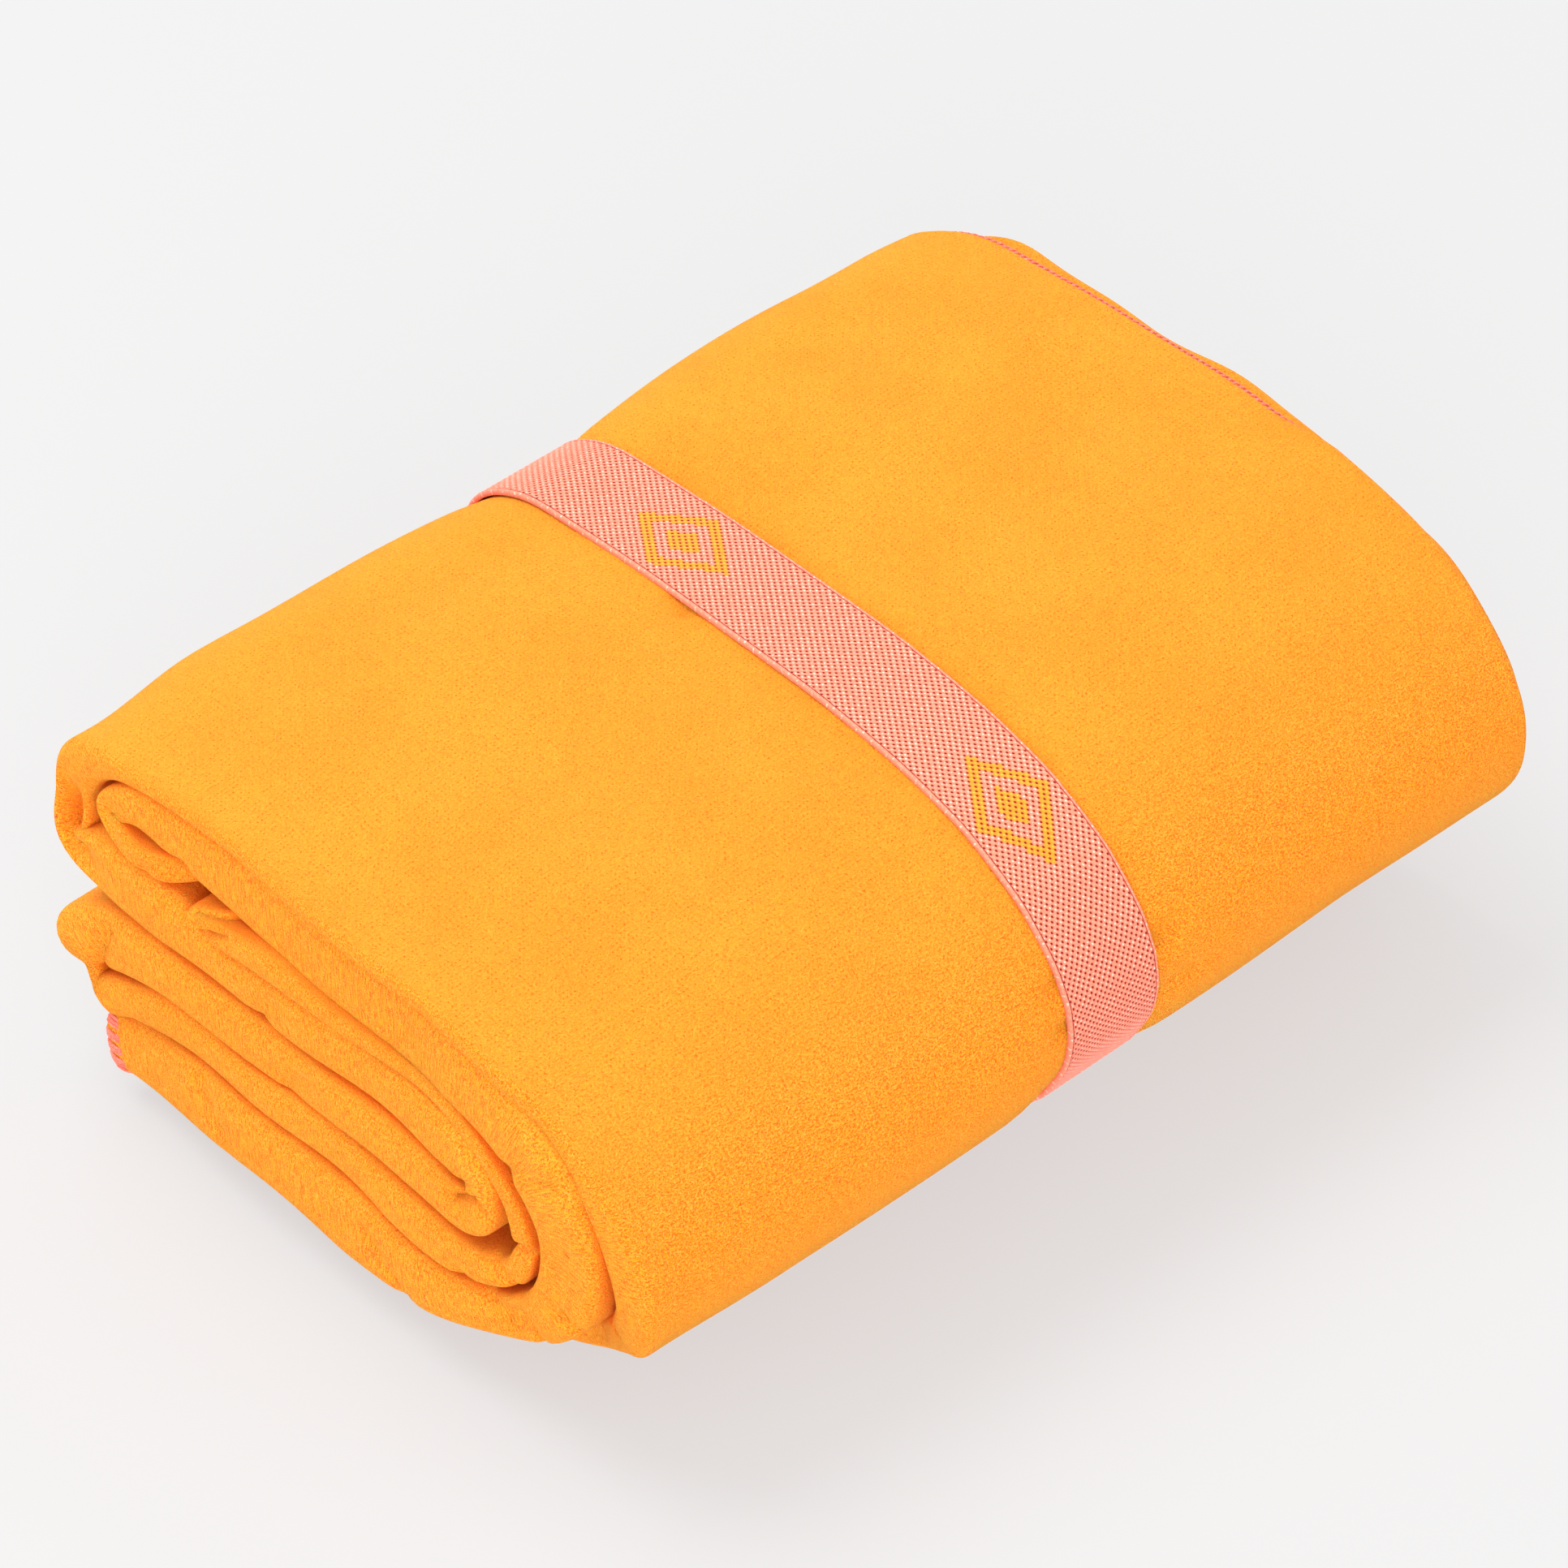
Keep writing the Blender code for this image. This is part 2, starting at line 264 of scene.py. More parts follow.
def tube(name, line, radius, finish, sides=6):
    """A round tube through the points of a line, with flat ends."""
    along = unit(np.gradient(line, axis=0))
    guide = np.zeros_like(along)
    guide[:, 2] = 1.0
    steep = np.abs(along[:, 2]) > 0.8
    guide[steep] = (1.0, 0.0, 0.0)
    across = unit(np.cross(along, guide))
    for i in range(1, len(line)):
        carried = across[i - 1] - along[i] * np.dot(across[i - 1], along[i])
        across[i] = carried / np.linalg.norm(carried)
    other = np.cross(along, across)
    angle = np.arange(sides) * 2 * math.pi / sides
    ring = across[:, None] * np.cos(angle)[None, :, None] + other[:, None] * np.sin(angle)[None, :, None]
    points = (line[:, None] + ring * radius).reshape(-1, 3)
    faces = grid_faces(len(line), sides, wrap_columns=True).tolist()
    faces.append(list(range(sides))[::-1])
    faces.append([(len(line) - 1) * sides + k for k in range(sides)])
    return mesh_object(name, points, faces, finish)


# ---------------------------------------------------------------- materials
class Nodes:
    """A node tree with short calls for the nodes used here."""

    def __init__(self, name):
        self.material = bpy.data.materials.new(name)
        self.material.use_nodes = True
        self.tree = self.material.node_tree
        self.shader = self.tree.nodes["Principled BSDF"]

    def add(self, kind, **settings):
        node = self.tree.nodes.new(kind)
        for key, value in settings.items():
            setattr(node, key, value)
        return node

    def feed(self, socket, value):
        if isinstance(value, bpy.types.NodeSocket):
            self.tree.links.new(value, socket)
        else:
            socket.default_value = value

    def math(self, operation, *values):
        node = self.add("ShaderNodeMath", operation=operation)
        for socket, value in zip(node.inputs, values):
            self.feed(socket, value)
        return node.outputs[0]

    def noise(self, where, scale, detail=2.0, roughness=0.5):
        node = self.add("ShaderNodeTexNoise")
        self.feed(node.inputs["Vector"], where)
        node.inputs["Scale"].default_value = scale
        node.inputs["Detail"].default_value = detail
        node.inputs["Roughness"].default_value = roughness
        return node.outputs["Fac"]

    def spread(self, value, low, high, to_low=0.0, to_high=1.0):
        node = self.add("ShaderNodeMapRange", interpolation_type="SMOOTHSTEP")
        self.feed(node.inputs["Value"], value)
        node.inputs["From Min"].default_value = low
        node.inputs["From Max"].default_value = high
        node.inputs["To Min"].default_value = to_low
        node.inputs["To Max"].default_value = to_high
        return node.outputs["Result"]

    def mix(self, factor, first, second):
        """The first colour at factor 0 and the second at factor 1."""
        node = self.add("ShaderNodeMix", data_type="RGBA")
        for socket, value in ((0, factor), (6, first), (7, second)):
            self.feed(node.inputs[socket], value)
        return node.outputs[2]

    def bump(self, height, distance, strength=1.0, under=None):
        node = self.add("ShaderNodeBump")
        node.inputs["Distance"].default_value = distance
        node.inputs["Strength"].default_value = strength
        self.feed(node.inputs["Height"], height)
        if under is not None:
            self.feed(node.inputs["Normal"], under)
        return node.outputs["Normal"]

    def place(self):
        return self.add("ShaderNodeTexCoord").outputs["Object"]

    def stretched(self, where, scale):
        node = self.add("ShaderNodeMapping")
        self.feed(node.inputs["Vector"], where)
        node.inputs["Scale"].default_value = scale
        return node.outputs["Vector"]

    def attribute(self, name):
        return self.add("ShaderNodeAttribute", attribute_name=name).outputs["Vector"]

    def apart(self, where):
        node = self.add("ShaderNodeSeparateXYZ")
        self.feed(node.inputs[0], where)
        return node.outputs[0], node.outputs[1], node.outputs[2]


def soft_fabric(nodes, roughness, sheen, tint):
    shader = nodes.shader
    shader.inputs["Roughness"].default_value = roughness
    shader.inputs["Specular IOR Level"].default_value = 0.15
    shader.inputs["Sheen Weight"].default_value = sheen
    shader.inputs["Sheen Roughness"].default_value = 0.45
    shader.inputs["Sheen Tint"].default_value = tint


def microfibre_material():
    """Brushed microfibre: short nap that lies in small tufts, over a fine weave, with painted shade in its
    creases, painted sheen on the ends of its fibres and a redder painted colour where it faces sideways.
    """
    nodes = Nodes("brushed microfibre")
    place = nodes.place()
    weave = nodes.attribute("cloth_place")
    tufts = nodes.noise(nodes.stretched(weave, (0.55, 1.3, 1.0)), 2900.0, 2.0, 0.6)
    patches = nodes.noise(nodes.stretched(weave, (0.7, 1.1, 1.0)), 950.0, 2.0, 0.6)
    fuzz = nodes.noise(place, 3600.0, 2.0, 0.7)
    broad = nodes.noise(place, 45.0, 3.0, 0.5)
    specks = nodes.noise(nodes.stretched(weave, (0.45, 1.0, 1.0)), 1700.0, 1.0, 0.5)
    facing = nodes.add("ShaderNodeNewGeometry").outputs["Normal"]
    _, _, upward = nodes.apart(facing)
    # 1 where the surface faces sideways and 0.4 where it faces up; it strengthens the tufts' darker hollows
    # and the painted sheen on the sides
    side_facing = nodes.spread(upward, 0.55, 1.0, 1.0, 0.4)
    pale = nodes.mix(nodes.spread(broad, 0.35, 0.65), (0.94, 0.262, 0.0145, 1), (0.95, 0.288, 0.018, 1))
    # painted light: where the surface faces sideways it is coloured a redder orange with less blue, and the
    # top keeps a bluer colour that stands in for the skylight sheen on it
    pale = nodes.mix(nodes.spread(upward, 0.3, 0.95), (0.97, 0.276, 0.003, 1), pale)
    hollow = nodes.math("MULTIPLY", nodes.spread(tufts, 0.40, 0.58, 1.0, 0.0), side_facing)
    base = nodes.mix(hollow, pale, (0.93, 0.125, 0.001, 1))
    rows = nodes.math("MULTIPLY", thread_rows(nodes, weave, "X"), thread_rows(nodes, weave, "Y"))
    pits = nodes.math("MULTIPLY", nodes.spread(rows, 0.5, 0.85), nodes.spread(specks, 0.44, 0.6))
    base = nodes.mix(pits, base, (0.90, 0.12, 0.001, 1))
    # painted sheen: pale, bluer flecks on the ends of the fibres, stronger on the sides, stand in for the
    # sheen of the nap
    painted_sheen_tips = nodes.math("MULTIPLY", nodes.spread(fuzz, 0.46, 0.66), nodes.math("MULTIPLY", side_facing, 0.85))
    nap = nodes.mix(painted_sheen_tips, base, (0.98, 0.41, 0.055, 1))
    # painted shade: creases and recesses, found by ambient occlusion, are coloured a deeper, darker orange
    crease_occlusion = nodes.add("ShaderNodeAmbientOcclusion", samples=6, only_local=True)
    crease_occlusion.inputs["Distance"].default_value = 0.007
    out_of_painted_shade = nodes.spread(crease_occlusion.outputs["AO"], 0.18, 0.72)
    nodes.feed(nodes.shader.inputs["Base Color"], nodes.mix(out_of_painted_shade, (0.97, 0.13, 0.001, 1), nap))
    soft_fabric(nodes, 0.95, 0.16, (1.0, 0.60, 0.12, 1))
    nodes.shader.inputs["Subsurface Weight"].default_value = 0.5
    nodes.shader.inputs["Subsurface Radius"].default_value = (1.0, 0.04, 0.01)
    nodes.shader.inputs["Subsurface Scale"].default_value = 0.005
    normal = nodes.bump(pits, 0.0002, 0.5)
    normal = nodes.bump(patches, 0.0006, 0.18, normal)
    normal = nodes.bump(tufts, 0.0007, 1.0, normal)
    normal = nodes.bump(fuzz, 0.00035, 0.9, normal)
    nodes.feed(nodes.shader.inputs["Normal"], normal)
    return nodes.material


WAVE_FACTOR = 20.0  # Blender's wave texture multiplies its scale by this


def thread_rows(nodes, where, direction):
    """Rows of thread across one direction of the cloth, from 0 to 1."""
    rows = nodes.add("ShaderNodeTexWave", wave_type="BANDS", bands_direction=direction)
    nodes.feed(rows.inputs["Vector"], where)
    rows.inputs["Scale"].default_value = 2 * math.pi / (WAVE_FACTOR * WEAVE_PITCH * MM)
    rows.inputs["Distortion"].default_value = 2.2
    rows.inputs["Detail Scale"].default_value = 1.5
    return rows.outputs["Fac"]


def thread_material(name, colour, pale):
    nodes = Nodes(name)
    place = nodes.place()
    fibre = nodes.noise(place, 3200.0, 2.0, 0.6)
    nodes.feed(nodes.shader.inputs["Base Color"], nodes.mix(nodes.spread(fibre, 0.35, 0.7), colour, pale))
    soft_fabric(nodes, 0.7, 0.3, (1.0, 0.8, 0.75, 1))
    nodes.feed(nodes.shader.inputs["Normal"], nodes.bump(fibre, 0.0002, 0.6))
    return nodes.material


def elastic_material(row_pitch):
    """Jacquard elastic: pale coral knots with painted shade in the gaps between them and painted highlights on
    top of them, and motifs in a second yarn.
    """
    nodes = Nodes("woven elastic")
    across, along, motif = nodes.apart(nodes.attribute("knot_place"))
    place = nodes.place()
    fibre = nodes.noise(place, 3800.0, 2.0, 0.6)
    uneven = nodes.noise(place, 2600.0, 1.0, 0.5)
    row = nodes.math("DIVIDE", along, row_pitch)
    column = nodes.math("ADD", nodes.math("DIVIDE", across, KNOT_ACROSS), nodes.math("MULTIPLY", row, SKEW))
    turn = 2 * math.pi
    wave = nodes.math(
        "MULTIPLY",
        nodes.math("COSINE", nodes.math("MULTIPLY", column, turn)),
        nodes.math("COSINE", nodes.math("MULTIPLY", row, turn)),
    )
    seam = BAND_HALF_WIDTH - SELVAGE
    off_centre = nodes.math("ABSOLUTE", across)
    body = nodes.spread(off_centre, seam - 0.1, seam, 1, 0)
    # painted shade: the gaps between the knots, and the groove inside each selvage, are coloured a near black
    # red
    painted_gap_shade = nodes.math("MULTIPLY", nodes.spread(wave, -0.85, -0.05, 1.0, 0.0), body)
    off_seam = nodes.math("ABSOLUTE", nodes.math("SUBTRACT", off_centre, seam))
    painted_gap_shade = nodes.math("MAXIMUM", painted_gap_shade, nodes.spread(off_seam, 0.05, 0.17, 0.85, 0.0))
    # painted highlight: the tops of the knots are lightened to pale pink in the coral yarn and to pale orange
    # in the motif yarn
    painted_highlight = nodes.math("MULTIPLY", nodes.spread(wave, 0.3, 0.95, 0.0, 0.95), nodes.spread(uneven, 0.42, 0.62))
    coral = nodes.mix(nodes.spread(fibre, 0.3, 0.7), (0.85, 0.172, 0.102, 1), (0.90, 0.245, 0.155, 1))
    coral = nodes.mix(painted_highlight, coral, (0.92, 0.50, 0.42, 1))
    orange = nodes.mix(nodes.spread(fibre, 0.3, 0.7), (0.84, 0.205, 0.012, 1), (0.88, 0.265, 0.022, 1))
    orange = nodes.mix(painted_highlight, orange, (0.92, 0.36, 0.05, 1))
    yarn = nodes.mix(motif, coral, orange)
    nodes.feed(nodes.shader.inputs["Base Color"], nodes.mix(painted_gap_shade, yarn, (0.17, 0.007, 0.005, 1)))
    soft_fabric(nodes, 0.6, 0.15, (1.0, 0.85, 0.8, 1))
    normal = nodes.bump(nodes.spread(wave, -1.0, 1.0), 0.00022, 0.8)
    nodes.feed(nodes.shader.inputs["Normal"], nodes.bump(fibre, 0.00012, 0.6, normal))
    return nodes.material


def floor_material():
    """A pale sweep lit from below as well as above, so that it stays even and its shadows stay light."""
    nodes = Nodes("pale floor")
    nodes.shader.inputs["Base Color"].default_value = (0.16, 0.16, 0.16, 1)
    nodes.shader.inputs["Roughness"].default_value = 1.0
    nodes.shader.inputs["Specular IOR Level"].default_value = 0.0
    nodes.shader.inputs["Emission Color"].default_value = (1, 1, 1, 1)
    nodes.shader.inputs["Emission Strength"].default_value = 0.55
    return nodes.material


# ---------------------------------------------------------------- the rolled sheet
def strip_curves():
    """The strip in the body and at the folded end, how far that end is drawn back, and the shift of both."""
    controls = np.array(STRIP, float)
    smooth = catmull_rom(controls, STEPS_PER_SPAN)
    body, near = smooth[:, 0:3], smooth[:, 3:6]
    back = smooth[:, 6]
    normal = left_normals(body[:, :2])
    edge = np.vstack([body[:, :2] + normal * side * body[:, 2:3] for side in (1, -1)])
    shift = np.array([-(edge[:, 0].min() + edge[:, 0].max()) / 2, UNDERSIDE - edge[:, 1].min()])
    body = body + [*shift, 0]
    near = near + [*shift, 0]
    return body, near, back, shift


def ripple(x, y, z):
    """A gentle unevenness of hand-folded cloth: a displacement in millimetres at each point."""
    waves = (
        # amplitude, then waves per metre along x, y and z, then phase and direction
        (0.55, 9.0, 5.0, 7.0, 0.4, (0.3, 0.1, 1.0)),
        (0.45, -6.0, 8.0, 11.0, 2.1, (1.0, 0.2, -0.3)),
        (0.30, 17.0, 12.0, -9.0, 4.0, (0.5, 0.3, 0.8)),
        (0.22, 13.0, -24.0, 15.0, 1.3, (0.4, 0.2, 0.9)),
        (0.12, 31.0, 37.0, 22.0, 3.2, (0.6, 0.5, 0.6)),
    )
    moved = np.zeros(x.shape + (3,))
    for size, wx, wy, wz, phase, direction in waves:
        angle = 2 * math.pi * (wx * x + wy * y + wz * z) * MM + phase
        moved += size * np.sin(angle)[..., None] * np.array(direction)
    return moved


# Hollows in the folded end, where the plies stand apart: x, z, reach and depth, in millimetres.
HOLLOWS = (
    (-70.5, 60.0, 9.0, 5.5),
    (-54.0, 71.0, 4.0, 1.5),
    (-34.0, 61.0, 4.0, 1.5),
    (56.0, 45.0, 12.0, 1.2),
    (45.0, 22.0, 6.0, 3.0),
)

# Short tucks pressed into the folded end: x and z of both ends, half width and depth, in millimetres.
TUCKS = (
    (-66.0, 30.5, -60.5, 42.0, 1.5, 1.8),
    (-73.0, 24.0, -66.0, 19.0, 1.4, 2.0),
    (-33.5, 59.5, -26.0, 62.5, 1.0, 1.6),
    (-46.0, 66.0, -38.0, 70.0, 1.6, 1.2),
    (30.0, 44.0, 36.5, 47.5, 1.2, 2.4),
    (33.0, 50.5, 38.0, 47.0, 1.1, 2.0),
    (37.5, 36.5, 44.0, 33.0, 1.3, 2.2),
    (42.0, 42.0, 48.5, 43.5, 1.2, 1.8),
    (30.0, 27.5, 37.0, 25.0, 1.5, 1.8),
    (46.0, 27.0, 52.0, 23.5, 1.4, 2.0),
    (50.0, 62.5, 57.0, 66.0, 1.8, 1.2),
    (56.0, 36.0, 61.5, 33.0, 1.5, 1.4),
    (6.0, 18.5, 14.0, 11.0, 2.0, 1.3),
    (-38.0, 22.0, -33.0, 13.0, 2.2, 1.2),
    (-14.0, 38.0, -8.0, 43.0, 2.0, 1.0),
    (-20.0, 50.0, -15.0, 55.5, 1.8, 1.0),
    (14.0, 68.0, 19.0, 75.0, 1.8, 0.6),
    (-12.0, 70.0, -7.0, 77.0, 2.0, 0.6),
    (44.0, 60.0, 50.0, 66.0, 1.6, 0.8),
)


def tucked(points, shift):
    """Presses the tucks into the folded end."""
    x, z = points[..., 0] - shift[0], points[..., 2] - shift[1]
    near = smoothstep(NEAR_START, NEAR_FULL, points[..., 1])
    pressed = np.zeros(x.shape)
    for x0, z0, x1, z1, width, depth in TUCKS:
        length = (x1 - x0) ** 2 + (z1 - z0) ** 2
        along = np.clip(((x - x0) * (x1 - x0) + (z - z0) * (z1 - z0)) / length, 0, 1)
        off = (x - x0 - along * (x1 - x0)) ** 2 + (z - z0 - along * (z1 - z0)) ** 2
        pressed += depth * np.exp(-off / width**2)
    moved = points.copy()
    moved[..., 1] += pressed * near
    return moved


def sheet_grid():
    """Points of the sheet's middle surface, along the strip and then across it, and their flat places."""
    body, near, back, shift = strip_curves()
    body_normal = left_normals(body[:, :2])
    near_normal = left_normals(near[:, :2])
    travelled = np.concatenate([[0], np.cumsum(np.linalg.norm(np.diff(body[:, :2], axis=0), axis=1))])
    near_offset = np.maximum(near[:, 2] - CLOTH / 2, MIN_OFFSET)
    wobble = 0.6 * np.sin(travelled / 17.0 + 1.0) + 0.4 * np.sin(travelled / 7.3)
    near_y = -HALF_LENGTH - NEAR_PROUD + back + np.maximum(wobble, -0.4)
    fold_depth = FOLD_DEPTH * np.tanh(0.8 * near_offset / FOLD_DEPTH)
    hem_y = HALF_LENGTH - HEM_INSET + 0.5 * np.sin(travelled / 23.0) + 0.3 * np.sin(travelled / 9.0 + 2.0)
    inner_hem_y = hem_y - INNER_HEM
    far_y = HALF_LENGTH + FAR_PROUD + 0.55 * np.sin(travelled / 9.0 + 0.7) + 0.3 * np.sin(travelled / 4.1)
    upper_fold = smoothstep(-45.0, -66.0, body[:, 0]) * smoothstep(50.0, 70.0, body[:, 1])
    far_y -= FAR_DRAW_BACK * upper_fold
    hem_y -= HEM_DRAW_BACK * upper_fold
    hollow = np.zeros(len(travelled))
    for x, z, reach, depth in HOLLOWS:
        hollow += depth * np.exp(-((near[:, 0] - x) ** 2 + (near[:, 1] - z) ** 2) / reach**2)
    columns = []

    def column(y, share):
        """One line along the strip: where it lies along the roll, and its share of the half thickness."""
        columns.append((y, share))

    def run(start, end, share, count):
        for t in np.linspace(0, 1, count, endpoint=False):
            column(start + (end - start) * t, np.full(len(start), share))

    def turn(middle_y, depth, middle, radius, sign, count, pressed=0.0):
        for t in np.linspace(0, math.pi, count, endpoint=False):
            y = middle_y + sign * (depth * math.sin(t) ** BLUNT - pressed * math.sin(t) ** 4)
            swing = math.copysign(abs(math.cos(t)) ** BLUNT, math.cos(t))
            column(y, np.full(len(depth), middle + radius * swing))

    third = 1 / 3
    over = smoothstep(16.0, 30.0, body[:, 0]) * smoothstep(10.0, 30.0, body[:, 1])
    hem_y += HEM_TUCK * over
    for inset, share in CURL:
        column(hem_y - inset, share - 1.4 * (1 - share) * over)
    run(hem_y - CURL[-1][0] - 1.0, near_y + fold_depth, 1.0, 70)
    turn(near_y + fold_depth, fold_depth, 0.0, 1.0, -1, 20, hollow)
    run(near_y + fold_depth, far_y - FAR_FOLD, -1.0, 34)
    turn(far_y - FAR_FOLD, np.full(len(far_y), FAR_FOLD), -2 * third, -third, 1, 8)
    inner_fold_y = near_y + 1.7 * fold_depth + hollow
    run(far_y - FAR_FOLD, inner_fold_y, -third, 16)
    turn(inner_fold_y, 0.4 * fold_depth, 0.0, -third, -1, 8)
    run(inner_fold_y, inner_hem_y, third, 16)
    column(inner_hem_y, np.full(len(hem_y), third))

    y = np.stack([c[0] for c in columns], axis=1)
    share = np.stack([c[1] for c in columns], axis=1)
    lift = np.interp(share, (-1.0, -third, third, 1.0), (0.50, 0.50, 0.25, 0.0))
    share = share + lift * smoothstep(86.0, 99.0, y) * (np.arange(y.shape[1]) >= len(CURL))
    to_near = smoothstep(NEAR_START, NEAR_FULL, y)[..., None]
    middle = body[:, None, :2] * (1 - to_near) + near[:, None, :2] * to_near
    half = body[:, None, 2] * (1 - to_near[..., 0]) + near[:, None, 2] * to_near[..., 0]
    normal = unit(body_normal[:, None] * (1 - to_near) + near_normal[:, None] * to_near)
    offset = share * np.maximum(half - CLOTH / 2, MIN_OFFSET)
    x = middle[..., 0] + normal[..., 0] * offset
    z = middle[..., 1] + normal[..., 1] * offset
    points = np.stack([x, y, z], axis=-1)
    points += ripple(x, y, z) * np.clip(np.abs(y) / 60.0, 0.35, 1.0)[..., None]
    points = squeeze(tucked(points, shift))
    across = np.concatenate([[0], np.cumsum(np.abs(np.diff(y.mean(axis=0))) + 0.3)])
    flat = np.zeros(points.shape)
    flat[..., 0] = across[None] * MM
    flat[..., 1] = travelled[:, None] * MM
    return points, flat


# Where the cloth swells beside the band: the direction from the roll's middle and its spread in degrees, then
# how far it bulges before and behind the band.
SHOULDERS = (
    (134.0, 34.0, 3.4, 5.2),
    (38.0, 40.0, 0.6, 1.6),
    (-42.0, 30.0, 0.6, 0.4),
)


# Puckers where the band's edge presses the cloth: x, y, z, reach along and across the roll, and depth.
PUCKERS = (
    (-15.0, -10.6, 86.5, 1.5, 3.2, 2.6),
    (75.0, -10.6, 60.0, 1.4, 2.0, 2.6),
    (77.0, -10.6, 52.5, 1.4, 1.8, 2.6),
    (76.5, 12.5, 57.0, 3.0, 2.8, 1.8),
    (77.0, 17.0, 47.0, 5.5, 2.6, 1.2),
    (70.0, 13.0, 68.0, 3.0, 3.4, 0.6),
    (30.0, -12.5, 85.0, 2.4, 6.0, 0.5),
    (-40.0, 12.5, 86.0, 2.6, 7.0, 0.5),
)


def squeeze(points):
    """Draws the cloth in under the band, and lets its shoulders swell on both sides of it."""
    centre = np.array([0.0, 0.0, ROLL_MIDDLE])
    away = points - centre
    y = points[..., 1]
    away[..., 1] = 0
    reach = np.linalg.norm(away, axis=-1)
    outer = smoothstep(20.0, 60.0, reach)
    off_floor = smoothstep(2.0, 14.0, points[..., 2])
    heading = np.degrees(np.arctan2(away[..., 2], away[..., 0]))
    waist = WAIST + WAIST_RIGHT * np.exp(-(((heading + 25.0) / 19.0) ** 2))
    swell = -waist * np.exp(-((y / (1.3 * BAND_HALF_WIDTH)) ** 4)) * outer
    from_band = 1 - np.exp(-((y / 26.0) ** 2))
    near_end = 1 - 0.75 * smoothstep(-72.0, -96.0, y)
    far_end = 1 - 0.35 * smoothstep(80.0, 100.0, y)
    for direction, spread, before, behind in SHOULDERS:
        here = np.exp(-(((heading - direction) / spread) ** 2)) * smoothstep(15.0, 55.0, reach)
        swell += here * from_band * np.where(y < 0, before, behind) * near_end * far_end * off_floor
    for x, y0, z, along, across, depth in PUCKERS:
        off = ((points[..., 0] - x) ** 2 + (points[..., 2] - z) ** 2) / across**2 + ((y - y0) / along) ** 2
        swell -= depth * np.exp(-off)
    return points + unit(away) * swell[..., None]


def towel_sheet(finish):
    points, flat = sheet_grid()
    rows, columns = points.shape[:2]
    made = mesh_object("rolled_towel", points.reshape(-1, 3) * MM, grid_faces(rows, columns).tolist(), finish)
    store_vectors(made, "cloth_place", flat.reshape(-1, 3))
    solidify = made.modifiers.new("thickness", "SOLIDIFY")
    solidify.thickness = CLOTH * MM
    solidify.offset = 0.0
    apply_modifiers(made)
    made.data.shade_smooth()
    return made, points


# ---------------------------------------------------------------- overlock thread along the sheet's edges
def even_steps(line, others, step):
    """The line and the arrays that go with it, read again at even steps along the line."""
    distance = np.concatenate([[0], np.cumsum(np.linalg.norm(np.diff(line, axis=0), axis=1))])
    count = max(int(round(distance[-1] / step)), 8)
    at = np.linspace(0, distance[-1], count)

    def read(values):
        return np.stack([np.interp(at, distance, values[:, k]) for k in range(3)], axis=1)

    return at, [read(values) for values in (line, *others)]


def overlock(name, edge, inside, finish, pitch, width, radius, strands):
    """Thread wound over an edge in loops, each loop a few strands side by side."""
    inward = unit(inside - edge)
    along = unit(np.gradient(edge, axis=0))
    normal = unit(np.cross(along, inward))
    at, (line, inward, normal) = even_steps(edge, (inward, normal), pitch / STEPS_PER_LOOP)
    inward = unit(inward)
    normal = unit(normal)
    loops = []
    for strand in range(strands):
        angle = (at / pitch + strand * STRAND_STEP) * 2 * math.pi
        reach = width / 2 * (1 - np.cos(angle)) - radius
        lift = (CLOTH / 2 + radius * 0.8) * np.sin(angle) * (1 + 0.06 * np.sin(at * 2.3 + strand))
        wound = line + inward * reach[:, None] + normal * lift[:, None]
        loops.append(tube(name, wound * MM, radius * MM, finish))
    return joined(loops)


def joined(pieces):
    """One object from several meshes."""
    with bpy.context.temp_override(active_object=pieces[0], selected_editable_objects=pieces):
        bpy.ops.object.join()
    return pieces[0]


# ---------------------------------------------------------------- the elastic band
def convex_hull(points):
    """The convex hull of (x, z) points, anticlockwise."""
    ordered = sorted(map(tuple, points))
    hull = []
    for direction in (ordered, ordered[::-1]):
        side = []
        for point in direction:
            while len(side) > 1:
                a, b = side[-2], side[-1]
                if (b[0] - a[0]) * (point[1] - a[1]) - (b[1] - a[1]) * (point[0] - a[0]) > 0:
                    break
                side.pop()
            side.append(point)
        hull += side[:-1]
    return np.array(hull)


def band_line(sheet):
    """The band's inner line round the rolled sheet at even steps, its outward normals and its length."""
    under = np.abs(sheet[..., 1]) < BAND_HALF_WIDTH + 0.5
    outline = sheet[under][:, [0, 2]]
    reach = CLOTH / 2 + BAND_SLACK
    angles = np.radians(np.arange(0, 360, 15))
    hull = convex_hull(np.round(outline, 3))
    swept = hull[:, None] + reach * np.stack([np.cos(angles), np.sin(angles)], axis=1)[None]
    hull = convex_hull(np.round(swept.reshape(-1, 2), 4))
    closed = np.vstack([hull, hull[:1]])
    distance = np.concatenate([[0], np.cumsum(np.linalg.norm(np.diff(closed, axis=0), axis=1))])
    count = int(round(distance[-1] / BAND_STEP))
    at = np.arange(count) * distance[-1] / count
    line = np.stack([np.interp(at, distance, closed[:, k]) for k in range(2)], axis=1)
    for _ in range(12):
        line = (np.roll(line, 1, axis=0) + 2 * line + np.roll(line, -1, axis=0)) / 4
    along = unit(np.roll(line, -3, axis=0) - np.roll(line, 3, axis=0))
    outward = np.stack([along[:, 1], -along[:, 0]], axis=1)
    return line, outward, distance[-1]


def knot_pitch(length):
    """The knots' pitch along the band that meets itself where the band closes."""
    whole = round(1 / SKEW)
    return length / (round(length / KNOT_ALONG / whole) * whole)


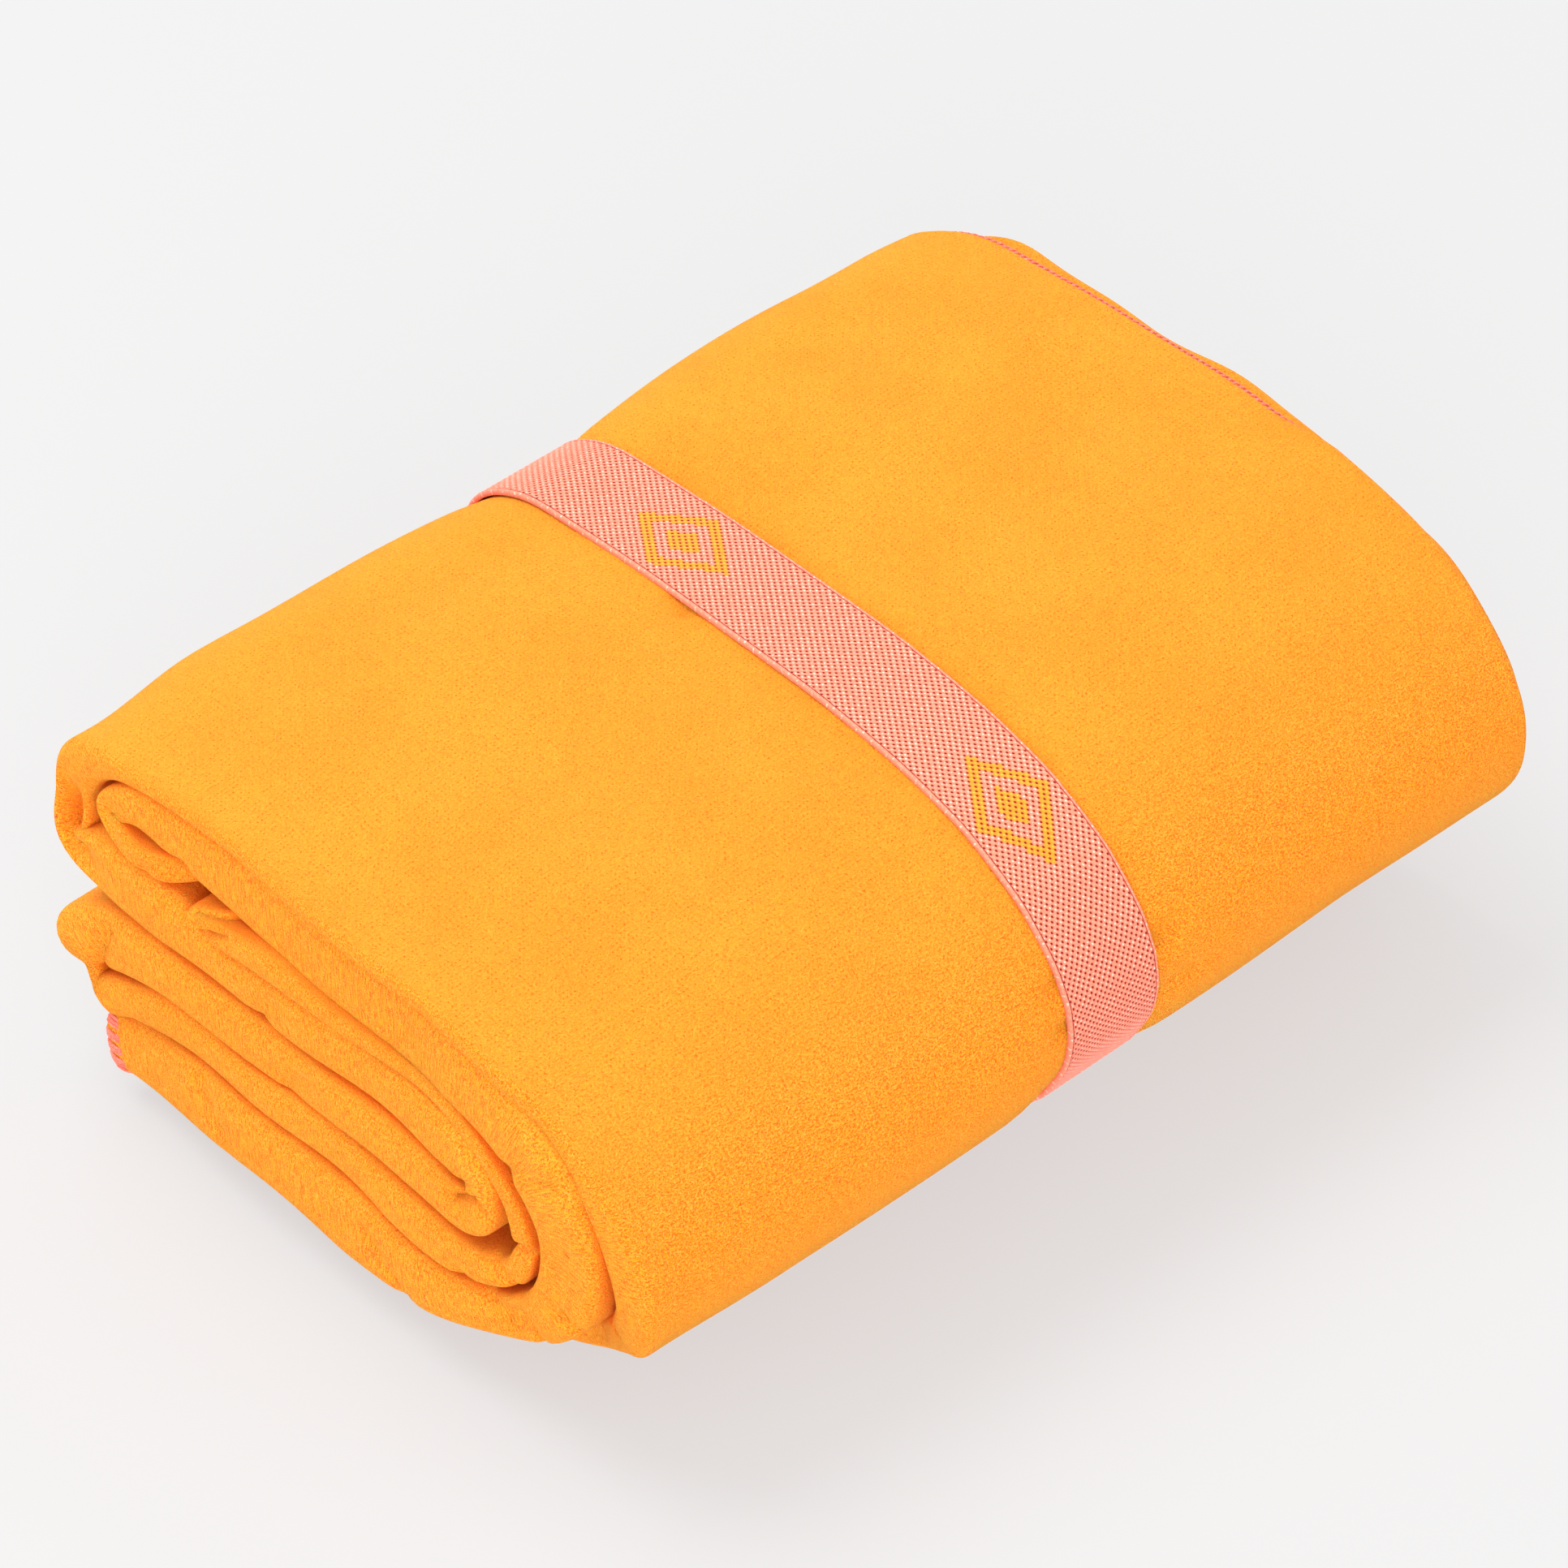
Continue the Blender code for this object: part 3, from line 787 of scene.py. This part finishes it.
def knot_pattern(across, along, length):
    """Height of the elastic's knots, from 0 to 1, and which of them are of the second yarn."""
    pitch = knot_pitch(length)
    b = along / pitch
    a = across / KNOT_ACROSS + SKEW * b
    wave = np.cos(2 * math.pi * a) * np.cos(2 * math.pi * b)
    height = 1 - ((1 - wave) / 2) ** 1.5
    first = np.stack([np.round(a), np.round(b)])
    second = np.stack([np.floor(a) + 0.5, np.floor(b) + 0.5])
    here = np.stack([a, b])
    nearer = np.abs(here - first).sum(axis=0) < np.abs(here - second).sum(axis=0)
    knot = np.where(nearer, first, second)
    spacing = length / round(length / MOTIF_SPACING)
    from_motif = (knot[1] * pitch - MOTIF_START + spacing / 2) % spacing - spacing / 2
    from_middle = (knot[0] - SKEW * knot[1]) * KNOT_ACROSS
    lozenge = np.abs(from_middle) / MOTIF_HALF_HEIGHT + np.abs(from_motif) / MOTIF_HALF_LENGTH
    motif = ((lozenge < 1.0) & (lozenge > 0.70)) | (lozenge < 0.36)
    return height, motif.astype(float)


def elastic_strip(name, line, outward, along, length, closed, inner, outer, finish):
    """A woven strip of the band's width along a line, its knots in relief on the outside."""
    top = np.linspace(-BAND_HALF_WIDTH, BAND_HALF_WIDTH, 101)
    knot_across, knot_along = np.meshgrid(top, along)
    height, motif = knot_pattern(knot_across, knot_along, length)
    edge = np.abs(knot_across)
    rope = np.sqrt(np.clip(1 - ((edge - (BAND_HALF_WIDTH - SELVAGE / 2)) / (SELVAGE / 2)) ** 2, 0, 1))
    twist = 0.5 + 0.5 * np.cos((knot_along / SELVAGE_TWIST + knot_across) * 2 * math.pi)
    in_body = edge < BAND_HALF_WIDTH - SELVAGE
    height = np.where(in_body, height, rope * (0.8 + 0.2 * twist))
    low = outer - KNOT_RELIEF
    lifted = low + (outer - low) * height
    rows = len(along)
    back = np.linspace(BAND_HALF_WIDTH, -BAND_HALF_WIDTH, 13)
    ring_y = np.concatenate([top, back])
    under = np.full((rows, len(back)), inner)
    ring_out = np.concatenate([lifted, under], axis=1)
    points = np.stack(
        [
            line[:, None, 0] + outward[:, None, 0] * ring_out,
            np.broadcast_to(ring_y[None], ring_out.shape),
            line[:, None, 1] + outward[:, None, 1] * ring_out,
        ],
        axis=-1,
    )
    places = np.zeros(points.shape)
    places[..., 0] = ring_y[None]
    places[..., 1] = along[:, None]
    places[:, : len(top), 2] = np.where(in_body, motif, 0.0)
    faces = grid_faces(rows, len(ring_y), wrap_rows=closed, wrap_columns=True)[:, ::-1].tolist()
    if not closed:
        faces.append(list(range(len(ring_y))))
        faces.append([(rows - 1) * len(ring_y) + k for k in range(len(ring_y))][::-1])
    made = mesh_object(name, points.reshape(-1, 3) * MM, faces, finish)
    store_vectors(made, "knot_place", places.reshape(-1, 3))
    return made


def seam_place(line):
    """The index on the band's line that lies level with the middle of the join in the frame."""
    (_, _, low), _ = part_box("bar_tack_lower")
    _, (_, _, high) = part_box("bar_tack_upper")
    off = np.abs(line[:, 1] - (low + high) / 2 / MM)
    off[line[:, 0] > 0] = 1e3
    return int(np.argmin(off))


def bar_tack(name, line, outward, along, at, finish):
    """A dense zigzag of thread across the band, where its two ends are sewn together."""
    zigzag = []
    for k in range(TACK_CROSSINGS + 1):
        place = at + (TACK_HALF_WIDTH if k % 2 else -TACK_HALF_WIDTH)
        x = np.interp(place, along, line[:, 0])
        z = np.interp(place, along, line[:, 1])
        out = np.array([np.interp(place, along, outward[:, 0]), np.interp(place, along, outward[:, 1])])
        y = (2 * k / TACK_CROSSINGS - 1) * (BAND_HALF_WIDTH - TACK_INSET)
        for lift in TACK_LIFTS if k % 2 else TACK_LIFTS[::-1]:
            zigzag.append((x + out[0] * lift, y, z + out[1] * lift))
    return tube(name, np.array(zigzag) * MM, TACK_THREAD * MM, finish)


# ---------------------------------------------------------------- floor, light and camera
FLOOR_SIZE = 8.0  # metres, as all sizes of the floor, the lights and the camera are
FLOOR_DROP = 0.0002
WORLD_LIGHT = 1.3
LAMPS = (
    # name, diameter, watts and place
    ("key", 1.0, 17.0, (-0.45, -0.22, 1.35)),
    ("fill", 1.3, 26.5, (1.15, -1.05, 0.55)),
)
LAMP_AIM = (0, 0, 0.04)
CAMERA_ANGLES = (49.6, 41.8, -2.4)  # azimuth, elevation and roll in degrees
CAMERA_AIM = (-0.0185, 0.013, 0.0298)
CAMERA_DISTANCE = 1.163
LENS = 152.8  # millimetres, on a sensor 36 mm wide


def studio():
    bpy.ops.mesh.primitive_plane_add(size=FLOOR_SIZE, location=(0, 0, -FLOOR_DROP))
    floor = bpy.context.object
    floor.name = "floor"
    floor.data.materials.append(floor_material())
    world = bpy.data.worlds.new("studio")
    bpy.context.scene.world = world
    world.use_nodes = True
    background = world.node_tree.nodes["Background"]
    background.inputs["Color"].default_value = (1, 1, 1, 1)
    background.inputs["Strength"].default_value = WORLD_LIGHT
    for name, size, energy, place in LAMPS:
        light = bpy.data.lights.new(name, "AREA")
        light.shape = "DISK"
        light.size = size
        light.energy = energy
        lamp = bpy.data.objects.new(name, light)
        bpy.context.scene.collection.objects.link(lamp)
        lamp.location = place
        lamp.rotation_euler = (Vector(LAMP_AIM) - lamp.location).to_track_quat("-Z", "Y").to_euler()
    bpy.context.scene.view_settings.view_transform = "Standard"


def camera():
    azimuth, elevation, roll = (math.radians(angle) for angle in CAMERA_ANGLES)
    level = math.cos(elevation)
    back = Vector((math.sin(azimuth) * level, -math.cos(azimuth) * level, math.sin(elevation)))
    right = Vector((0, 0, 1)).cross(back).normalized()
    up = back.cross(right)
    turned_right = right * math.cos(roll) + up * math.sin(roll)
    turned_up = up * math.cos(roll) - right * math.sin(roll)
    data = bpy.data.cameras.new("camera")
    data.sensor_width = 36.0
    data.lens = LENS
    data.clip_start = 0.05
    made = bpy.data.objects.new("camera", data)
    bpy.context.scene.collection.objects.link(made)
    place = Vector(CAMERA_AIM) + back * CAMERA_DISTANCE
    made.matrix_world = Matrix(
        (
            (turned_right.x, turned_up.x, back.x, place.x),
            (turned_right.y, turned_up.y, back.y, place.y),
            (turned_right.z, turned_up.z, back.z, place.z),
            (0, 0, 0, 1),
        )
    )
    bpy.context.scene.camera = made


# ---------------------------------------------------------------- the object
studio()
camera()

microfibre = microfibre_material()
coral_thread = thread_material("coral overlock thread", (0.72, 0.095, 0.06, 1), (0.84, 0.225, 0.15, 1))
tack_thread = thread_material("coral tack thread", (0.74, 0.13, 0.08, 1), (0.82, 0.26, 0.18, 1))

towel, sheet = towel_sheet(microfibre)
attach(towel, "towel")
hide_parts("towel_cloth")

for name, edge, inside, pitch, width, radius, strands, node in (
    ("overlock_long_edge_outer", sheet[:, 0], sheet[:, 1], 1.45, 2.6, 0.2, 2, "hem_long_edge_outer_ply"),
    ("overlock_long_edge_inner", sheet[:, -1], sheet[:, -2], 1.45, 2.6, 0.2, 2, "hem_long_edge_inner_ply"),
    ("overlock_short_edge_visible", sheet[0], sheet[1], 2.6, 3.7, 0.33, 3, "hem_short_edge_visible_end"),
    ("overlock_short_edge_hidden", sheet[-1], sheet[-2], 2.6, 3.7, 0.33, 3, "hem_short_edge_hidden_end"),
):
    hem = overlock(name, edge, inside, coral_thread, pitch, width, radius, strands)
    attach(hem, "towel")
    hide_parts(node)

line, outward, band_length = band_line(sheet)
along = np.arange(len(line)) * band_length / len(line)
elastic = elastic_material(knot_pitch(band_length))
band = elastic_strip("woven_band", line, outward, along, band_length, True, 0.0, BAND_THICKNESS, elastic)
join = seam_place(line)
lapped = slice(join - LAP_STEPS, join + LAP_STEPS + 1)
lap = elastic_strip(
    "woven_band_lap", line[lapped], outward[lapped], along[lapped], band_length, False, *LAP_HEIGHTS, elastic
)
upper_tack = bar_tack("bar_tack_upper_thread", line, outward, along, along[join] - TACK_OFFSET, tack_thread)
lower_tack = bar_tack("bar_tack_lower_thread", line, outward, along, along[join] + TACK_OFFSET, tack_thread)
for piece, node, slot in (
    (band, "elastic_band", "elastic"),
    (lap, "elastic_band_lap", "elastic"),
    (upper_tack, "bar_tack_upper", "tack_thread"),
    (lower_tack, "bar_tack_lower", "tack_thread"),
):
    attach(piece, "band")
    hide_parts(node)
